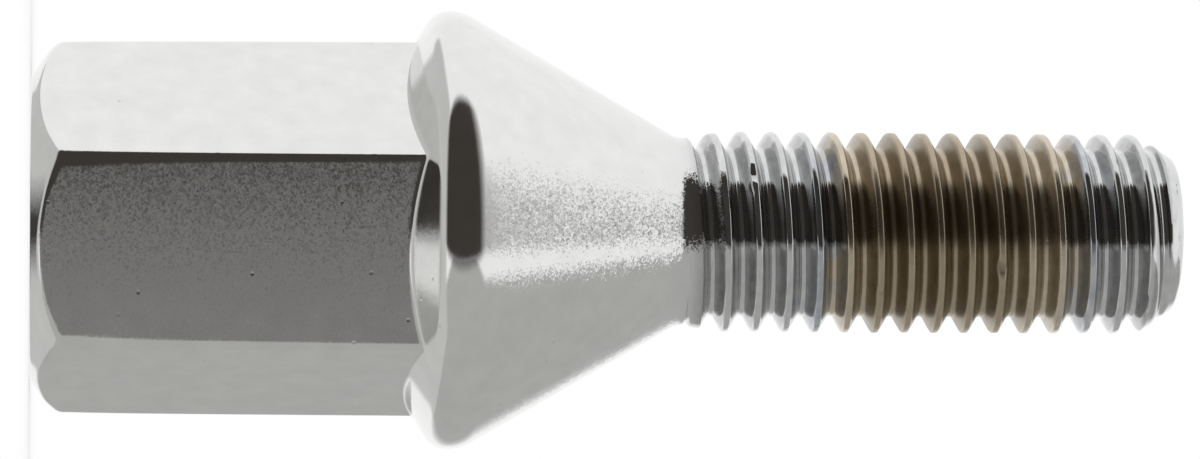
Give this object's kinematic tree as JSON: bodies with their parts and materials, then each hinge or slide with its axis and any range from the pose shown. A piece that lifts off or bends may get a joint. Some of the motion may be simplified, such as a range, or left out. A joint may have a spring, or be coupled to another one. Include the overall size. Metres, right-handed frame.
{
  "type": "wheel bolt",
  "caption": "Chrome-plated wheel bolt with a tall hex head, a rounded collar, a conical seat and a coarse right-hand thread with a chamfered tip.",
  "frame": {"origin": "centre of the head's flat end face, which the bolt stands on", "axes": "+Z along the bolt's axis, from the head to the thread's tip; two of the head's flats face +Y and -Y"},
  "size_m": [0.0252, 0.0252, 0.066],
  "materials": {
    "chrome_plate": "satin"
  },
  "bodies": {
    "root": {"wheel_bolt": "chrome_plate"}
  },
  "joints": []
}
